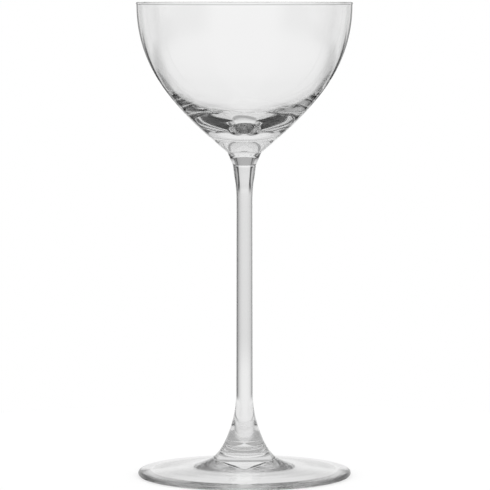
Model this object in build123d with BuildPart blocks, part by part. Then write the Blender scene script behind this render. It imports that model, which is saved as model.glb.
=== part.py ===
from build123d import *
import os

# A stemmed cocktail glass in clear glass: a blown bowl, a drawn stem and a pressed foot.
# The three pieces are made apart and welded hot, end to end, so each one is a solid of
# revolution about Z and meets the next on a flat round weld. The foot stands on z = 0.
# Sizes are in millimetres. A lean is an angle in degrees away from upright, a slope is one
# away from level, and a straightness is how far a curve keeps the direction of its end.

# Heights of the whole glass and of its pieces
glass_height = 170.0
bowl_height = 58.2
foot_height = 9.0

# Bowl: a wall that is upright at the rim and runs down into a cone
rim_diameter = 77.0
wall_thickness = 0.6
rim_straightness = 22.2
cone_lean = 50.2
cone_straightness = 26.9

# Fire-polished bead round the rim, proud of both sides of the wall
rim_bead = 0.2
rim_bead_blend = 0.8

# Nub under the cone, where the stem is welded on
nub_height = 4.5
nub_top_diameter = 12.1
bowl_weld_diameter = 8.4

# Inside of the bowl: a wall that thickens downwards, then a cone floor with a round middle
# over a heavy base
wall_run = 32.3
wall_foot_thickness = 1.0
wall_taper = 2.5
base_thickness = 13.3
floor_radius = 19.5
floor_slope = 20.7
floor_run = 7.5
floor_straightness = 5.8

# Stem: a solid shank that widens into both welds
shank_top_diameter = 5.72
shank_bottom_diameter = 5.96
neck_length = 14.0
neck_lean = 7.4
neck_straightness = 5.8
shank_top_straightness = 7.2
flare_length = 20.0
flare_lean = 37.0
flare_straightness = 4.2
shank_bottom_straightness = 7.6

# Foot: a sloping disc with a boss for the stem and a hollow underside
foot_diameter = 76.6
foot_edge_thickness = 2.0
foot_slope = 6.0
foot_weld_diameter = 17.9
boss_straightness = 3.4
boss_spread = 10.0
disc_straightness = 5.5
resting_width = 4.0
hollow_depth = 2.6

# Fine groove where the round edges of two pieces meet at a weld
weld_groove = 0.12


def leaning(point, lean, length):
    """The point at a distance from another, along a line that leans outwards."""
    return Vector(*point) + Vector(0, length).rotate(Axis.Z, -lean)


# Bowl
bowl_weld_z = glass_height - bowl_height
floor_z = bowl_weld_z + base_thickness
bead_radius = wall_thickness / 2 + rim_bead
bead_z = glass_height - bead_radius
rim_outside = (rim_diameter / 2, bead_z)
rim_inside = (rim_diameter / 2 - wall_thickness, bead_z)
rim_middle = (rim_diameter / 2 - wall_thickness / 2, bead_z)
nub_top = (nub_top_diameter / 2, bowl_weld_z + nub_height)

with BuildPart() as bowl:
    with BuildSketch(Plane.XZ) as bowl_section:
        with BuildLine():
            Polyline((0, floor_z), (0, bowl_weld_z), (bowl_weld_diameter / 2, bowl_weld_z), nub_top)
            outside = Bezier(
                nub_top,
                leaning(nub_top, cone_lean, cone_straightness),
                (rim_outside[0], bead_z - rim_straightness),
                rim_outside,
            )
            Line(rim_outside, rim_inside)
            wall_end = 1 - wall_run / outside.length
            wall_inwards = (outside % wall_end).rotate(Axis.Z, 90)
            wall_foot = outside @ wall_end + wall_inwards * wall_foot_thickness
            wall_way = (outside % wall_end).rotate(Axis.Z, -wall_taper)
            Bezier(
                rim_inside,
                (rim_inside[0], bead_z - wall_run / 3),
                wall_foot + wall_way * (wall_run / 3),
                wall_foot,
            )
            floor_middle = CenterArc((0, floor_z + floor_radius), floor_radius, -90, floor_slope)
            floor_cone = PolarLine(floor_middle @ 1, floor_run, floor_slope)
            Bezier(
                wall_foot,
                wall_foot - wall_way * floor_straightness,
                floor_cone @ 1 + (floor_cone % 1) * floor_straightness,
                floor_cone @ 1,
            )
        make_face()
        with Locations(rim_middle):
            Circle(bead_radius)
        bead_creases = bowl_section.vertices().filter_by_position(Axis.Y, bead_z - bead_radius, bead_z)
        fillet(bead_creases, rim_bead_blend)
    revolve(axis=Axis.Z)
    chamfer(bowl.faces().sort_by(Axis.Z)[0].edges(), weld_groove)
bowl.part.label = "bowl"

# Stem
neck_top = (bowl_weld_diameter / 2, bowl_weld_z)
shank_top = (shank_top_diameter / 2, bowl_weld_z - neck_length)
shank_bottom = (shank_bottom_diameter / 2, foot_height + flare_length)
flare_bottom = (foot_weld_diameter / 2, foot_height)

with BuildPart() as stem:
    with BuildSketch(Plane.XZ):
        with BuildLine():
            Polyline(neck_top, (0, bowl_weld_z), (0, foot_height), flare_bottom)
            Bezier(
                flare_bottom,
                leaning(flare_bottom, -flare_lean, flare_straightness),
                (shank_bottom[0], shank_bottom[1] - shank_bottom_straightness),
                shank_bottom,
            )
            Line(shank_bottom, shank_top)
            Bezier(
                shank_top,
                (shank_top[0], shank_top[1] + shank_top_straightness),
                leaning(neck_top, neck_lean, -neck_straightness),
                neck_top,
            )
        make_face()
    revolve(axis=Axis.Z)
    chamfer(stem.faces().filter_by(Plane.XY).edges(), weld_groove)
stem.part.label = "stem"

# Foot
edge_radius = foot_edge_thickness / 2
edge_middle = (foot_diameter / 2 - edge_radius, edge_radius)
boss_top = (foot_weld_diameter / 2, foot_height)
hollow_radius = edge_middle[0] - resting_width

with BuildPart() as foot:
    with BuildSketch(Plane.XZ):
        with BuildLine():
            rounded_edge = CenterArc(edge_middle, edge_radius, -90, 180 - foot_slope)
            disc_top = PolarLine(
                rounded_edge @ 1,
                (rounded_edge @ 1).X - boss_top[0] - boss_spread,
                180 - foot_slope,
                length_mode=LengthMode.HORIZONTAL,
            )
            Bezier(
                disc_top @ 1,
                disc_top @ 1 + (disc_top % 1) * disc_straightness,
                leaning(boss_top, -flare_lean, -boss_straightness),
                boss_top,
            )
            Polyline(boss_top, (0, foot_height), (0, hollow_depth))
            hollow = TangentArc((0, hollow_depth), (hollow_radius, 0), tangent=(1, 0))
            Line(hollow @ 1, rounded_edge @ 0)
        make_face()
    revolve(axis=Axis.Z)
    chamfer(foot.faces().sort_by(Axis.Z)[-1].edges(), weld_groove)
foot.part.label = "foot"

os.makedirs("parts", exist_ok=True)
for piece in (bowl, stem, foot):
    export_step(piece.part, f"parts/{piece.part.label}.step")
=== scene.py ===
import math

import bmesh
import bpy
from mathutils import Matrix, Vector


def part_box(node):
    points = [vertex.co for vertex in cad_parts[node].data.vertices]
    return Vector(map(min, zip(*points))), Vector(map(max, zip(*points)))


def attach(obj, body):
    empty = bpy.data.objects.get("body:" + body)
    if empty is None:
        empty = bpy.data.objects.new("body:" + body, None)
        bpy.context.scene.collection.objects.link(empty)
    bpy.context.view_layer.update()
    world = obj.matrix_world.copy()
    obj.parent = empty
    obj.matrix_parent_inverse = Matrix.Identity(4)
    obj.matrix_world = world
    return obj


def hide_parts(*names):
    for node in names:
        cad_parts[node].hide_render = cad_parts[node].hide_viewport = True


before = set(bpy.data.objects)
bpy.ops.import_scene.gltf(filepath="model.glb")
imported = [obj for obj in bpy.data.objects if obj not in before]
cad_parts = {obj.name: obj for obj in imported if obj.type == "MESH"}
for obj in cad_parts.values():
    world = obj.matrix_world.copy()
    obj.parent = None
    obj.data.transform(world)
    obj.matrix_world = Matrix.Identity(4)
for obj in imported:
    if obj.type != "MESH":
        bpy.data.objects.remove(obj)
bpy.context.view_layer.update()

mm = 0.001  # the glass is written in millimetres, the stage round it in metres
upright = 90.0
white = (1.0, 1.0, 1.0, 1.0)


# Wraps a shader socket, so that shader maths reads as a sum.
class Wire:
    def __init__(self, tree, socket=None):
        self.tree = tree
        self.socket = socket

    # Makes any node: its settings come first, then the values or links of its sockets.
    def node(self, kind, settings=None, sockets=None, out=0):
        made = self.tree.nodes.new(kind)
        for name, value in (settings or {}).items():
            setattr(made, name, value)
        for name, value in (sockets or {}).items():
            if isinstance(value, Wire):
                self.tree.links.new(value.socket, made.inputs[name])
            else:
                made.inputs[name].default_value = value
        return Wire(self.tree, made.outputs[out] if made.outputs else None)

    def maths(self, operation, *values):
        return self.node("ShaderNodeMath", {"operation": operation}, dict(enumerate(values)))

    def smooth(self, low, high):  # 0 below low, 1 above high, soft between
        settings = {"interpolation_type": "SMOOTHSTEP"}
        sockets = {"Value": self, "From Min": low, "From Max": high}
        return self.node("ShaderNodeMapRange", settings, sockets)

    def fading(self, low, high):  # 1 below low, 0 above high, soft between
        return 1.0 - self.smooth(low, high)

    def between(self, low, high):  # low where this is 0, high where it is 1
        return low + self * (high - low)

    def outs(self, *names):  # other outputs of the same node
        return [Wire(self.tree, self.socket.node.outputs[name]) for name in names]

    def __add__(self, other):
        return self.maths("ADD", self, other)

    def __sub__(self, other):
        return self.maths("SUBTRACT", self, other)

    def __rsub__(self, other):
        return self.maths("SUBTRACT", other, self)

    def __mul__(self, other):
        return self.maths("MULTIPLY", self, other)

    def __truediv__(self, other):
        return self.maths("DIVIDE", self, other)

    def __rtruediv__(self, other):
        return self.maths("DIVIDE", other, self)

    def __neg__(self):
        return 0.0 - self

    def __abs__(self):
        return self.maths("ABSOLUTE", self)

    def __lt__(self, other):
        return self.maths("LESS_THAN", self, other)

    def __gt__(self, other):
        return self.maths("GREATER_THAN", self, other)

    __radd__ = __add__
    __rmul__ = __mul__


def newMaterial(name):
    material = bpy.data.materials.new(name)
    material.use_nodes = True
    material.node_tree.nodes.clear()
    return material, Wire(material.node_tree)


def clearShader(wire):
    return wire.node("ShaderNodeBsdfTransparent", None, {"Color": white})


def byGlass(wire):  # 1 for light that comes off the glass or through it
    glossy, through = wire.node("ShaderNodeLightPath").outs("Is Glossy Ray", "Is Transmission Ray")
    return wire.maths("MAXIMUM", glossy, through)


# Clear glass
glassLook = {
    "ior": 1.52,
    "colour": (0.99, 0.99, 0.99, 1.0),
    "depthColour": (0.1, 0.1, 0.1, 1.0),
    "depthDensity": 8.0,  # per metre of glass
}


# Hand-made glass is never quite even: heightOf gives a piece's waves, from 0 to 1, and deep is
# their full height.
def makeGlass(name, deep, heightOf):
    material, wire = newMaterial(name)
    place = wire.node("ShaderNodeTexCoord").outs("Object")[0]
    waves = wire.node("ShaderNodeBump", None, {"Distance": deep, "Height": heightOf(wire, place)})
    shader = wire.node("ShaderNodeBsdfPrincipled", None, {
        "Base Color": glassLook["colour"],
        "Roughness": 0.0,
        "IOR": glassLook["ior"],
        "Transmission Weight": 1.0,
        "Normal": waves,
    })
    depth = wire.node("ShaderNodeVolumeAbsorption", None, {
        "Color": glassLook["depthColour"],
        "Density": glassLook["depthDensity"],
    })
    wire.node("ShaderNodeOutputMaterial", None, {"Surface": shader, "Volume": depth})
    return material


# Where two pieces are welded the glass runs on, so the weld bends no light.
def makeFusedSeam():
    material, wire = newMaterial("fusedSeam")
    wire.node("ShaderNodeOutputMaterial", None, {"Surface": clearShader(wire)})
    return material


def parted(wire, place):  # how far out from the axis, and how high
    east, north, up = wire.node("ShaderNodeSeparateXYZ", None, {"Vector": place}).outs("X", "Y", "Z")
    return wire.maths("SQRT", east * east + north * north), up


def noise(wire, place, scale):
    return wire.node("ShaderNodeTexNoise", None, {"Vector": place, "Scale": scale, "Detail": 0.0})


fusedSeam = makeFusedSeam()
print("materials made")


# Profiles are lists of (radius, height) in metres.
def bezier(start, startHandle, endHandle, end, count):
    points = []
    for step in range(count + 1):
        t = step / count
        weights = ((1 - t) ** 3, 3 * (1 - t) ** 2 * t, 3 * (1 - t) * t * t, t ** 3)
        corners = (start, startHandle, endHandle, end)
        points.append(tuple(sum(w * c[axis] for w, c in zip(weights, corners)) for axis in (0, 1)))
    return points


def arc(middle, radius, fromAngle, toAngle, count):
    points = []
    for step in range(count + 1):
        angle = math.radians(fromAngle + (toAngle - fromAngle) * step / count)
        points.append((middle[0] + radius * math.cos(angle), middle[1] + radius * math.sin(angle)))
    return points


def line(start, end, count):
    return [
        (start[0] + (end[0] - start[0]) * step / count, start[1] + (end[1] - start[1]) * step / count)
        for step in range(count + 1)
    ]


def leaning(point, lean, length):  # a point further along a line that leans outwards from upright
    angle = math.radians(lean)
    return (point[0] + length * math.sin(angle), point[1] + length * math.cos(angle))


# The point at a distance back from a profile's end, and the way the profile runs there
def backFrom(profile, distance):
    for start, end in reversed(list(zip(profile, profile[1:]))):
        length = math.dist(start, end)
        way = ((end[0] - start[0]) / length, (end[1] - start[1]) / length)
        if distance <= length:
            return (end[0] - way[0] * distance, end[1] - way[1] * distance), way
        distance -= length


def joined(*stretches):  # profiles end to end, without the points that they share
    points = list(stretches[0])
    for stretch in stretches[1:]:
        points += stretch[1:]
    return points


def placed(name, shape):  # an object made of a finished mesh
    mesh = bpy.data.meshes.new(name)
    shape.to_mesh(mesh)
    shape.free()
    piece = bpy.data.objects.new(name, mesh)
    bpy.context.collection.objects.link(piece)
    return piece


spinning = {
    "axisRadius": 1e-9,  # a smaller ring is one point on the axis
    "heightDigits": 7,  # decimals of a metre in which heights are compared
    "sharpAngle": 28.0,  # edges that turn more than this stay crisp
}


# Spins a profile that starts and ends on the axis. Rings at a weld's height get the seam's material.
def spin(name, profile, segments, weldHeights, glass):
    digits = spinning["heightDigits"]
    seams = {round(height, digits) for height in weldHeights}
    shape = bmesh.new()
    rings = []
    for radius, height in profile:
        if radius < spinning["axisRadius"]:
            rings.append([shape.verts.new((0.0, 0.0, height))])
            continue
        turns = [math.tau * step / segments for step in range(segments)]
        places = [(radius * math.cos(turn), radius * math.sin(turn), height) for turn in turns]
        rings.append([shape.verts.new(place) for place in places])
    for lower, upper in zip(rings, rings[1:]):
        for step in range(segments):
            after = (step + 1) % segments
            corners = [lower[step % len(lower)], lower[after % len(lower)]]
            corners += [upper[after % len(upper)], upper[step % len(upper)]]
            face = shape.faces.new(list(dict.fromkeys(corners)))
            face.smooth = True
            heights = {round(corner.co.z, digits) for corner in corners}
            if len(heights) == 1 and heights <= seams:
                face.material_index = 1
    bmesh.ops.recalc_face_normals(shape, faces=shape.faces)
    piece = placed(name, shape)
    piece.data.set_sharp_from_angle(angle=math.radians(spinning["sharpAngle"]))
    piece.data.materials.append(glass)
    piece.data.materials.append(fusedSeam)
    return piece


def fit(piece, node):
    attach(piece, "root")
    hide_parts(node)
    print(node, "made with", len(piece.data.polygons), "faces")


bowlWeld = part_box("bowl")[0][2]
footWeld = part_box("stem")[0][2]
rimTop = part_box("bowl")[1][2]
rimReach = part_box("bowl")[1][0]
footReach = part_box("foot")[1][0]

welds = {
    "groove": 0.12 * mm,
    "bowlRadius": 4.2 * mm,
    "footRadius": 8.95 * mm,
    "steps": 8,
}

# Bowl: outside from the weld up to the rim, then the bead, then the inside down to the floor
bowl = {
    "segments": 320,
    "wall": 0.6 * mm,
    "wallFoot": 1.0 * mm,
    "wallTaper": 2.5,
    "wallRun": 32.3 * mm,
    "wallSteps": 72,
    "bead": 0.2 * mm,
    "beadSteps": 24,
    "rimHandle": 22.2 * mm,
    "coneLean": 50.2,
    "coneHandle": 26.9 * mm,
    "outsideSteps": 96,
    "nubHeight": 4.5 * mm,
    "nubTopRadius": 6.05 * mm,
    "nubSteps": 12,
    "base": 13.3 * mm,
    "floorRadius": 19.5 * mm,
    "floorSlope": 20.7,
    "floorSteps": 24,
    "floorRun": 7.5 * mm,
    "floorRunSteps": 12,
    "floorHandle": 5.8 * mm,
    "cornerSteps": 32,
    "waves": 0.12 * mm,
    "waveScale": 150.0,
    "wallWaves": 0.008,  # share of the waves that is left on the wall and the outside
    "floorTop": (137.0 * mm, 144.0 * mm),  # heights between which the floor's waves end
    "insideEdge": (2.0 * mm, 4.0 * mm),  # how far inside the outer cone they start
}


def bowlProfile():
    b = bowl
    beadRadius = b["wall"] / 2 + b["bead"]
    outer = rimReach - b["bead"]
    inner = outer - b["wall"]
    beadZ = rimTop - beadRadius
    floorZ = bowlWeld + b["base"]
    nubTop = (b["nubTopRadius"], bowlWeld + b["nubHeight"])
    outside = bezier(
        nubTop,
        leaning(nubTop, b["coneLean"], b["coneHandle"]),
        (outer, beadZ - b["rimHandle"]),
        (outer, beadZ),
        b["outsideSteps"],
    )
    third = b["wallRun"] / 3
    (x, z), (dx, dz) = backFrom(outside, b["wallRun"])
    wallFoot = (x - dz * b["wallFoot"], z + dx * b["wallFoot"])
    lean = math.degrees(math.atan2(dx, dz)) + b["wallTaper"]
    wall = bezier(
        (inner, beadZ),
        (inner, beadZ - third),
        leaning(wallFoot, lean, third),
        wallFoot,
        b["wallSteps"],
    )
    floorMiddle = (0.0, floorZ + b["floorRadius"])
    middle = arc(floorMiddle, b["floorRadius"], b["floorSlope"] - upright, -upright, b["floorSteps"])
    coneEnd = leaning(middle[0], upright - b["floorSlope"], b["floorRun"])
    corner = bezier(
        wallFoot,
        leaning(wallFoot, lean, -b["floorHandle"]),
        leaning(coneEnd, upright - b["floorSlope"], b["floorHandle"]),
        coneEnd,
        b["cornerSteps"],
    )
    floorRun = line(coneEnd, middle[0], b["floorRunSteps"])
    inside = joined(wall, corner, floorRun, middle[:-1] + [(0.0, floorZ)])
    crease = math.degrees(math.acos(b["wall"] / 2 / beadRadius))
    beadMiddle = (outer - b["wall"] / 2, beadZ)
    bead = arc(beadMiddle, beadRadius, -crease, 2 * upright + crease, b["beadSteps"])
    outside = [p for p in outside if p[1] < bead[0][1]]
    inside = [p for p in inside if p[1] < bead[-1][1]]
    weldEdge = (welds["bowlRadius"] - welds["groove"], bowlWeld)
    weldFace = line((0.0, bowlWeld), weldEdge, welds["steps"])
    nub = line((welds["bowlRadius"], bowlWeld + welds["groove"]), nubTop, b["nubSteps"])
    return weldFace + nub + outside[1:] + bead + inside


# The blown floor is wavy, the wall and the outside nearly even.
def bowlHeight(wire, place):
    b = bowl
    out, up = parted(wire, place)
    aboveNub = up - (bowlWeld + b["nubHeight"])
    cone = aboveNub * math.tan(math.radians(b["coneLean"])) + b["nubTopRadius"]
    floor = (cone - out).smooth(*b["insideEdge"]) * up.fading(*b["floorTop"])
    return noise(wire, place, b["waveScale"]) * floor.between(b["wallWaves"], 1.0)


bowlGlass = makeGlass("blownGlass", bowl["waves"], bowlHeight)
fit(spin("bowlGlass", bowlProfile(), bowl["segments"], [bowlWeld], bowlGlass), "bowl")

# Stem: from the foot's weld up through the flare, the shank and the neck
stem = {
    "segments": 192,
    "shankTopRadius": 2.86 * mm,
    "shankBottomRadius": 2.98 * mm,
    "shankSteps": 60,
    "neckLength": 14.0 * mm,
    "neckLean": 7.4,
    "neckHandle": 5.8 * mm,
    "neckSteps": 40,
    "shankTopHandle": 7.2 * mm,
    "flareLength": 20.0 * mm,
    "flareLean": 37.0,
    "flareHandle": 4.2 * mm,
    "flareSteps": 48,
    "shankBottomHandle": 7.6 * mm,
    "waves": 0.004 * mm,
    "waveScale": (500.0, 500.0, 18.0),  # fine across the stem, long along it
}


def stemProfile():
    s = stem
    groove = welds["groove"]
    flareEnd = (welds["footRadius"], footWeld)
    shankBottom = (s["shankBottomRadius"], footWeld + s["flareLength"])
    shankTop = (s["shankTopRadius"], bowlWeld - s["neckLength"])
    neckEnd = (welds["bowlRadius"], bowlWeld)
    flare = bezier(
        flareEnd,
        leaning(flareEnd, -s["flareLean"], s["flareHandle"]),
        (shankBottom[0], shankBottom[1] - s["shankBottomHandle"]),
        shankBottom,
        s["flareSteps"],
    )
    neck = bezier(
        shankTop,
        (shankTop[0], shankTop[1] + s["shankTopHandle"]),
        leaning(neckEnd, s["neckLean"], -s["neckHandle"]),
        neckEnd,
        s["neckSteps"],
    )
    flare = [p for p in flare if p[1] > footWeld + groove]
    neck = [p for p in neck if p[1] < bowlWeld - groove]
    side = joined(flare, line(shankBottom, shankTop, s["shankSteps"]), neck)
    low = line((0.0, footWeld), (welds["footRadius"] - groove, footWeld), welds["steps"])
    high = line((welds["bowlRadius"] - groove, bowlWeld), (0.0, bowlWeld), welds["steps"])
    return low + side + high


# The drawn stem has faint cords along it.
def stemHeight(wire, place):
    settings = {"operation": "MULTIPLY"}
    drawn = wire.node("ShaderNodeVectorMath", settings, {0: place, 1: stem["waveScale"]})
    return noise(wire, drawn, 1.0)


stemGlass = makeGlass("drawnGlass", stem["waves"], stemHeight)
fit(spin("stemGlass", stemProfile(), stem["segments"], [footWeld, bowlWeld], stemGlass), "stem")

# Foot: from the hollow under it, round the edge and up over the disc to the boss
foot = {
    "segments": 320,
    "edge": 2.0 * mm,
    "edgeSteps": 24,
    "slope": 6.0,
    "discHandle": 5.5 * mm,
    "discSteps": 24,
    "bossHandle": 3.4 * mm,
    "bossSpread": 10.0 * mm,
    "bossSteps": 40,
    "restingWidth": 4.0 * mm,
    "restingSteps": 6,
    "hollowDepth": 2.6 * mm,
    "hollowSteps": 40,
    "waves": 0.03 * mm,
    "waveScale": 300.0,
    "turnScale": 0.25,  # waves run round the foot in rings
}


def footProfile():
    f = foot
    edgeRadius = f["edge"] / 2
    edgeMiddle = (footReach - edgeRadius, edgeRadius)
    hollowRadius = edgeMiddle[0] - f["restingWidth"]
    depth = f["hollowDepth"]
    sphere = (hollowRadius ** 2 + depth ** 2) / (2 * depth)
    reach = math.degrees(math.asin(hollowRadius / sphere))
    hollow = arc((0.0, depth - sphere), sphere, upright, upright - reach, f["hollowSteps"])
    ring = line((hollowRadius, 0.0), (edgeMiddle[0], 0.0), f["restingSteps"])
    edge = arc(edgeMiddle, edgeRadius, -upright, upright - f["slope"], f["edgeSteps"])
    discEdge = edge[-1]
    run = discEdge[0] - welds["footRadius"] - f["bossSpread"]
    discTop = (discEdge[0] - run, discEdge[1] + run * math.tan(math.radians(f["slope"])))
    bossTop = (welds["footRadius"], footWeld)
    boss = bezier(
        discTop,
        leaning(discTop, upright + f["slope"], -f["discHandle"]),
        leaning(bossTop, -stem["flareLean"], -f["bossHandle"]),
        bossTop,
        f["bossSteps"],
    )
    boss = [p for p in boss if p[1] < footWeld - welds["groove"]]
    disc = line(discEdge, discTop, f["discSteps"])
    weldEdge = (welds["footRadius"] - welds["groove"], footWeld)
    weldFace = line(weldEdge, (0.0, footWeld), welds["steps"])
    return joined([(0.0, depth)] + hollow[1:], ring, edge, disc, boss) + weldFace


# The pressed and spun foot has faint rings round its middle.
def footHeight(wire, place):
    out, up = parted(wire, place)
    rings = wire.node("ShaderNodeCombineXYZ", None, {"X": out, "Y": up * foot["turnScale"]})
    return noise(wire, rings, foot["waveScale"])


footGlass = makeGlass("pressedGlass", foot["waves"], footHeight)
fit(spin("footGlass", footProfile(), foot["segments"], [footWeld], footGlass), "foot")

# Floor: white to the eye and shaded by the glass. Through the glass the studio's own table is seen.
floorLook = {
    "radius": 0.2,
    "segments": 256,
    "gap": 0.1 * mm,  # air under the glass, so that its underside mirrors
    "paint": (0.42, 0.42, 0.42, 1.0),
    "glow": 0.62,
}


def makeFloor():
    f = floorLook
    shape = bmesh.new()
    bmesh.ops.create_circle(shape, cap_ends=True, segments=f["segments"], radius=f["radius"])
    floor = placed("floor", shape)
    floor.location.z = -f["gap"]
    material, wire = newMaterial("floorWhite")
    matt = wire.node("ShaderNodeBsdfDiffuse", None, {"Color": f["paint"]})
    glow = wire.node("ShaderNodeEmission", None, {"Strength": f["glow"]})
    both = wire.node("ShaderNodeAddShader", None, {0: matt, 1: glow})
    shown = wire.node("ShaderNodeMixShader", None, {0: byGlass(wire), 1: both, 2: clearShader(wire)})
    wire.node("ShaderNodeOutputMaterial", None, {"Surface": shown})
    floor.data.materials.append(material)


makeFloor()
print("floor laid")

# Studio round the glass: white to the eye. Straight through the glass it is a pale wall that fades
# into dark sides, which draw the edges of the glass, with a window on either hand and a pale table
# below. Single numbers are tones, pairs are the soft ends of an area: a side is measured round the
# horizon, from 0 to 1 right behind, at the front or at the left, and a top, foot or edge in height.
studio = {
    "ambient": 1.0,  # what lights the floor
    "room": 0.05,
    "spread": (0.47, 1.03),  # where the dark sides end and the wall begins
    "turn": 5.0,  # degrees that the wall's middle lies to the left
    "table": 0.9,
    "glow": 0.95,  # low strip of the wall, over the table
    "glowFoot": (-0.12, 0.0),
    "glowTop": (0.0, 0.06),
    "wall": 0.8,
    "wallEdge": (0.3, 0.42),
    "wallTop": 0.45,
    "window": 0.93,
    "windowSide": (0.88, 1.0),
    "windowTop": (0.15, 0.3),
    "front": 0.85,
    "frontSide": (0.45, 0.8),
    "frontTop": (-0.25, 0.0),
    "corner": 0.88,  # low corners of the room, and straight below
    "cornerSide": (0.4, 0.8),
    "cornerTop": (-0.26, -0.12),
    "cornerFoot": (-0.62, -0.5),
    "below": (-0.95, -0.8),
    "leastReach": 1e-6,  # keeps straight up and down from dividing by nothing
}

# In reflections it is bright above, behind and at the front, half bright low down, and dark at the
# sides. Light that was reflected only once meets paler sides and more low light.
mirrored = {
    "side": 0.02,
    "onceSide": 0.35,
    "onceFoot": (-0.33, -0.27),
    "sideTop": (0.2, 0.5),
    "above": 1.0,
    "low": 0.5,
    "sideFoot": (-0.42, -0.22),  # the low light ends here at the sides
    "deepSide": (0.4, 0.6),
    "deepFoot": (-0.68, -0.58),  # and here behind
    "onceDeep": (-0.5, -0.36),
    "nearSide": (-0.1, 0.25),
    "nearFoot": (-0.07, 0.01),  # and here at the front, for light reflected once
    "flank": 0.6,  # a pale patch on the left
    "flankSide": (0.96, 0.99),
    "flankTop": (0.15, 0.25),
    "flankFoot": (-0.2, -0.1),
    "rail": 0.75,  # a pale band behind, below level, for light reflected once
    "railSide": (0.35, 0.5),
    "railFoot": (-0.28, -0.24),
    "railTop": (-0.04, 0.0),
    "under": 1.0,  # right behind and low
    "underSide": (0.8, 0.88),
    "onceUnder": (0.94, 0.98),
    "underTop": (-0.2, -0.08),
    "back": 0.85,  # behind, up to a darker shelf and a lamp over it
    "backSide": (0.6, 0.85),
    "shelf": 0.42,
    "shelfEdge": (0.17, 0.3),
    "lamp": 1.0,
    "lampEdge": (0.38, 0.46),
    "front": 0.8,
    "frontSide": (0.6, 0.9),
}


def straightTone(up, behind, left):
    s = studio
    turn = math.radians(s["turn"])
    tone = up.smooth(*s["glowFoot"]).between(s["table"], s["glow"])
    tone = up.smooth(*s["glowTop"]).between(tone, s["wall"])
    tone = up.smooth(*s["wallEdge"]).between(tone, s["wallTop"])
    facing = behind * math.cos(turn) + left * math.sin(turn)
    tone = facing.smooth(*s["spread"]).between(s["room"], tone)
    front = (-behind).smooth(*s["frontSide"]) * up.fading(*s["frontTop"])
    tone = front.between(tone, s["front"])
    window = abs(left).smooth(*s["windowSide"]) * up.fading(*s["windowTop"])
    tone = window.between(tone, s["window"])
    corner = abs(2.0 * behind * left).smooth(*s["cornerSide"])
    corner = corner * up.smooth(*s["cornerFoot"]) * up.fading(*s["cornerTop"])
    tone = corner.between(tone, s["corner"])
    return up.smooth(*s["below"]).between(s["corner"], tone)


def turnedTone(up, behind, left, once):
    m = mirrored
    side = (once * up.smooth(*m["onceFoot"])).between(m["side"], m["onceSide"])
    tone = up.smooth(*m["sideTop"]).between(side, m["above"])
    deep = once.between(up.smooth(*m["deepFoot"]), up.smooth(*m["onceDeep"]))
    lowEdge = behind.smooth(*m["deepSide"]).between(up.smooth(*m["sideFoot"]), deep)
    near = once * (-behind).smooth(*m["nearSide"])
    lowEdge = near.between(lowEdge, up.smooth(*m["nearFoot"]))
    tone = lowEdge.between(m["low"], tone)
    flank = left.smooth(*m["flankSide"]) * up.smooth(*m["flankFoot"]) * up.fading(*m["flankTop"])
    tone = flank.between(tone, m["flank"])
    rail = behind.smooth(*m["railSide"]) * up.smooth(*m["railFoot"]) * up.fading(*m["railTop"])
    tone = (once * rail).between(tone, m["rail"])
    under = once.between(behind.smooth(*m["underSide"]), behind.smooth(*m["onceUnder"]))
    tone = (under * up.fading(*m["underTop"])).between(tone, m["under"])
    back = up.smooth(*m["shelfEdge"]).between(m["back"], m["shelf"])
    back = up.smooth(*m["lampEdge"]).between(back, m["lamp"])
    tone = (behind.smooth(*m["backSide"]) * up.smooth(*m["underTop"])).between(tone, back)
    return (-behind).smooth(*m["frontSide"]).between(tone, m["front"])


def makeStudio():
    world = bpy.data.worlds.new("studio")
    bpy.context.scene.world = world
    world.use_nodes = True
    world.node_tree.nodes.clear()
    wire = Wire(world.node_tree)
    way = wire.node("ShaderNodeTexCoord").outs("Generated")[0]
    east, north, up = wire.node("ShaderNodeSeparateXYZ", None, {"Vector": way}).outs("X", "Y", "Z")
    reach = wire.maths("SQRT", east * east + north * north + studio["leastReach"])
    behind = north / reach
    left = -(east / reach)
    path = wire.node("ShaderNodeLightPath")
    eye, diffuse, turns = path.outs("Is Camera Ray", "Is Diffuse Ray", "Glossy Depth")
    once = turns < 1.5  # turns counts the reflections, in whole numbers
    light = (turns > 0.5).between(straightTone(up, behind, left), turnedTone(up, behind, left, once))
    light = diffuse.between(light, studio["ambient"])
    light = eye.between(light, 1.0)
    glow = wire.node("ShaderNodeBackground", None, {"Color": white, "Strength": light})
    wire.node("ShaderNodeOutputWorld", None, {"Surface": glow})


makeStudio()

# Two dark cards in a V behind the bowl and a grey strip close behind the stem, which only the glass
# sees. Pairs are the soft ends of an area: across from the middle, or up.
cards = {
    "behind": 0.065,
    "inside": 0.03,
    "reach": 0.22,
    "bottom": 0.095,
    "top": 0.26,
    "inner": (0.045, 0.056),
    "outer": (0.085, 0.12),
    "highShade": 0.65,
    "lowInner": (0.034, 0.05),
    "lowOuter": (0.15, 0.22),
    "lowTop": (0.122, 0.136),
    "foot": (0.095, 0.12),
    "wing": 0.12,  # a faint shade that starts further in
    "wingSide": (0.03, 0.055),
    "wingTop": (0.13, 0.172),
    "tone": 0.02,
}
strip = {
    "behind": 0.012,
    "half": 0.008,
    "bottom": 0.034,
    "top": 0.108,
    "foot": (0.034, 0.05),
    "head": (0.1, 0.108),
    "edge": (0.005, 0.008),
    "shade": 0.16,
    "tone": 0.02,
}


def panel(fromX, toX, bottom, top, depthAt):
    return [(x, depthAt(x), z) for x, z in ((fromX, bottom), (toX, bottom), (toX, top), (fromX, top))]


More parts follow.
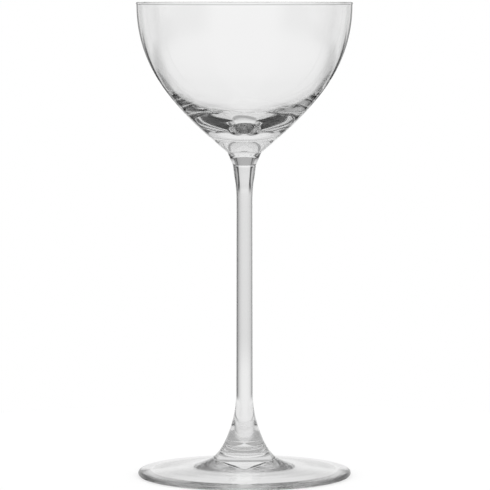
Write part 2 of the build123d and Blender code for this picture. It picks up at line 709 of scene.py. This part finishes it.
def cardShade(across, up):
    c = cards
    high = across.smooth(*c["inner"]) * across.fading(*c["outer"]) * c["highShade"]
    lowEnd = across.fading(*c["lowOuter"])
    side = up.smooth(*c["lowTop"]).between(across.smooth(*c["lowInner"]) * lowEnd, high)
    wing = across.smooth(*c["wingSide"]) * up.fading(*c["wingTop"]) * c["wing"]
    return across.maths("MAXIMUM", side, wing * lowEnd) * up.smooth(*c["foot"])


def stripShade(across, up):
    s = strip
    return across.fading(*s["edge"]) * up.smooth(*s["foot"]) * up.fading(*s["head"]) * s["shade"]


# A card is a mesh of (x, y, z) corners, and its shade runs from 0, clear, to 1, the card's tone.
def makeCard(name, panels, tone, shadeOf):
    shape = bmesh.new()
    for corners in panels:
        shape.faces.new([shape.verts.new(corner) for corner in corners])
    piece = placed(name, shape)
    material, wire = newMaterial(name)
    place = wire.node("ShaderNodeTexCoord").outs("Object")[0]
    east, up = wire.node("ShaderNodeSeparateXYZ", None, {"Vector": place}).outs("X", "Z")
    seen = shadeOf(abs(east), up) * byGlass(wire)
    dark = wire.node("ShaderNodeEmission", None, {"Strength": tone})
    shown = wire.node("ShaderNodeMixShader", None, {0: seen, 1: clearShader(wire), 2: dark})
    wire.node("ShaderNodeOutputMaterial", None, {"Surface": shown})
    piece.data.materials.append(material)


def makeCards():
    c, s = cards, strip
    arms = [
        panel(side * c["inside"], side * c["reach"], c["bottom"], c["top"], lambda x: c["behind"] + abs(x))
        for side in (-1, 1)
    ]
    makeCard("cards", arms, c["tone"], cardShade)
    back = panel(-s["half"], s["half"], s["bottom"], s["top"], lambda x: s["behind"])
    makeCard("strip", [back], s["tone"], stripShade)


makeCards()
print("studio lit")

# Camera at the photograph's viewing angle
view = {
    "place": (0.0002, -1.178, 0.175),
    "tiltDown": 4.46,
    "lens": 242.2,
    "sensor": 36.0,
    "farthest": 20.0,
}


def makeCamera():
    lens = bpy.data.cameras.new("camera")
    lens.lens = view["lens"]
    lens.sensor_width = view["sensor"]
    lens.clip_end = view["farthest"]
    camera = bpy.data.objects.new("camera", lens)
    camera.location = view["place"]
    camera.rotation_euler = (math.radians(upright - view["tiltDown"]), 0.0, 0.0)
    bpy.context.collection.objects.link(camera)
    bpy.context.scene.camera = camera


makeCamera()
bpy.context.scene.view_settings.view_transform = "Standard"
print("camera set")

# Light that runs along inside the glass turns many times before it comes out.
bounces = {
    "max_bounces": 48,
    "glossy_bounces": 40,
    "transmission_bounces": 40,
    "transparent_max_bounces": 64,
}
for name, count in bounces.items():
    setattr(bpy.context.scene.cycles, name, count)

bpy.context.view_layer.update()
